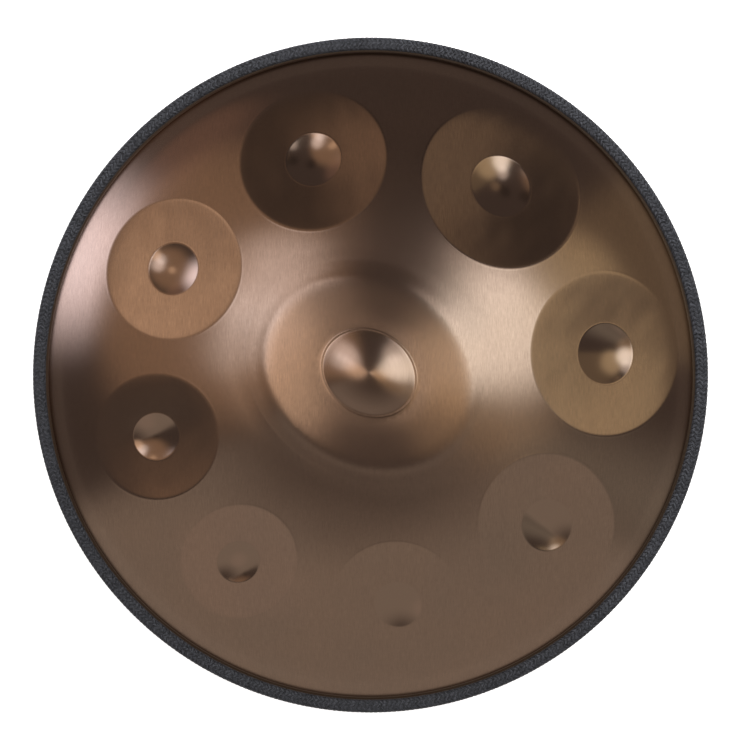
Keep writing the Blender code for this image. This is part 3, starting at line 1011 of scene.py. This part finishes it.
def make_world():
    """The studio as the metal reflects it; the camera itself sees a plain pale wall."""
    world = bpy.data.worlds.new("studio")
    bpy.context.scene.world = world
    world.use_nodes = True
    g = Graph(world.node_tree)
    direction = g.node("TexCoord").outputs["Generated"]
    # Where each soft light stands and how wide it is, in degrees, and its colour
    lights = (
        # The big light on the right of the ding, and the weaker ones round it
        (patch(g, direction, 18, 32, 0, 19), (1.12, 1.31, 1.48)),
        (patch(g, direction, 0, 27, 0, 25), (0.217, 0.171, 0.11)),
        (patch(g, direction, 44, 39, 0, 13), (0.594, 0.622, 0.677)),
        (patch(g, direction, 19, 57, 9, 21), (0.308, 0.285, 0.203)),
        (patch(g, direction, 0, 14, 4, 11), (0.336, 0.268, 0.18)),
        # The ones on the left of it
        (patch(g, direction, 177, 16, 0, 16), (0.65, 0.549, 0.461)),
        (patch(g, direction, 160, 30, 0, 13), (0.499, 0.592, 0.741)),
        (patch(g, direction, 135, 31, 0, 16), (0.68, 0.74, 0.88)),
        (patch(g, direction, 149, 49, 24, 41), (0.207, 0.148, 0.1)),
        # Upright panels: a bright one low on the left, a faint one on the right, and the wide
        # dim one in front
        (sector(g, direction, 157, 12, 10, 72, 90), (1.395, 1.48, 1.884)),
        (sector(g, direction, 21, 18, 2, 43, 49), (0.09, 0.077, 0.049)),
        (sector(g, direction, 265, 61, 4, 17, 53), (0.183, 0.178, 0.17)),
        # Small fills for single fields, for dimples and for the ding
        (patch(g, direction, 49, 63, 0, 9), (0.15, 0.122, 0.083)),
        (patch(g, direction, 236, 60, 6, 18), (0.035, 0.025, 0.025)),
        (patch(g, direction, 129, 88, 6, 20), (0.11, 0.07, 0.055)),
        (sector(g, direction, 336, 9, 9, 31, 37), (0.127, 0.135, 0.128)),
        (patch(g, direction, 148, 57, 0, 8), (0.472, 0.396, 0.324)),
        (patch(g, direction, 5, 5, 0, 6), (0.531, 0.492, 0.468)),
    )
    # Dark flags over parts of three fields
    flags = (patch(g, direction, 99, 61, 2, 11), patch(g, direction, 66, 60, 2, 11),
             patch(g, direction, 200, 55, 0, 6))
    floor_glow = g.ramp(g.separate(direction)[2], *FLOOR_FADE)
    total = g.vector("ADD", ROOM_GLOW, g.scale(FLOOR_GLOW, floor_glow))
    for mask, light in lights:
        total = g.vector("ADD", total, g.scale(light, mask))
    for flag in flags:
        total = g.scale(total, g.spread(flag, UNIT, (1.0, FLAG_DIMMING)))
    seen = g.node("LightPath").outputs["Is Camera Ray"]
    background = world.node_tree.nodes["Background"]
    g.feed(background.inputs["Color"], g.mix(seen, total, WALL_COLOUR))


def make_floor():
    """A wide pale floor that glows a little, so that it stays white right up to the rim."""
    material, shader, g = new_material("pale_floor")
    cloud = g.noise(g.object_point(), scale=3.0, detail=2.0)
    set_shader(g, shader, Base_Color=g.mix(cloud, FLOOR_GREY, PALE_FLOOR_GREY), Roughness=0.9,
               Emission_Color=WHITE, Emission_Strength=FLOOR_GLEAM)
    half, z = FLOOR_HALF, cad_box[0][2] - FLOOR_GAP
    mesh = bpy.data.meshes.new("floor")
    mesh.from_pydata([(-half, -half, z), (half, -half, z), (half, half, z), (-half, half, z)],
                     [], [(0, 1, 2, 3)])
    mesh.materials.append(material)
    floor = bpy.data.objects.new("floor", mesh)
    bpy.context.scene.collection.objects.link(floor)
    floor.visible_glossy = False


def make_soft_light(name, place, size, energy):
    """A soft light aimed at the pan, for the floor and the braid; the metal doesn't mirror it."""
    data = bpy.data.lights.new(name, "AREA")
    data.shape, data.size, data.size_y, data.energy = "RECTANGLE", size, size, energy
    light = bpy.data.objects.new(name, data)
    light.location = place
    light.rotation_euler = Vector((0, 0, 1)).rotation_difference(light.location).to_euler()
    bpy.context.scene.collection.objects.link(light)
    light.visible_glossy = False
    light.visible_camera = False


def make_camera():
    """Above the pan and very slightly in front of it; the frame is a little wider than the rim."""
    data = bpy.data.cameras.new("camera")
    data.sensor_width = SENSOR_WIDTH
    data.lens = SENSOR_WIDTH * CAMERA_DISTANCE / FRAME_WIDTH
    camera = bpy.data.objects.new("camera", data)
    view = Vector((*CAMERA_ASIDE, CAMERA_DISTANCE))
    camera.location = Vector((*PAN_OFFSET, JOINT_Z)) + view
    camera.rotation_euler = Vector((0, 0, 1)).rotation_difference(view).to_euler()
    bpy.context.scene.collection.objects.link(camera)
    bpy.context.scene.camera = camera


def main():
    bpy.context.scene.view_settings.view_transform = "Standard"
    brushed, raw = brushed_steel(), raw_steel()
    make_top_shell(brushed, turned_steel(), raw)
    make_bottom_shell(brushed, raw)
    make_glue(epoxy())
    make_channel(rubber())
    make_braid(braided_cord())
    make_world()
    make_floor()
    make_soft_light("overhead", place=(0.3, 0.5, 2.6), size=2.4, energy=62.0)
    make_soft_light("back_right", place=(0.8, 1.6, 0.7), size=0.8, energy=30.0)
    make_camera()


main()
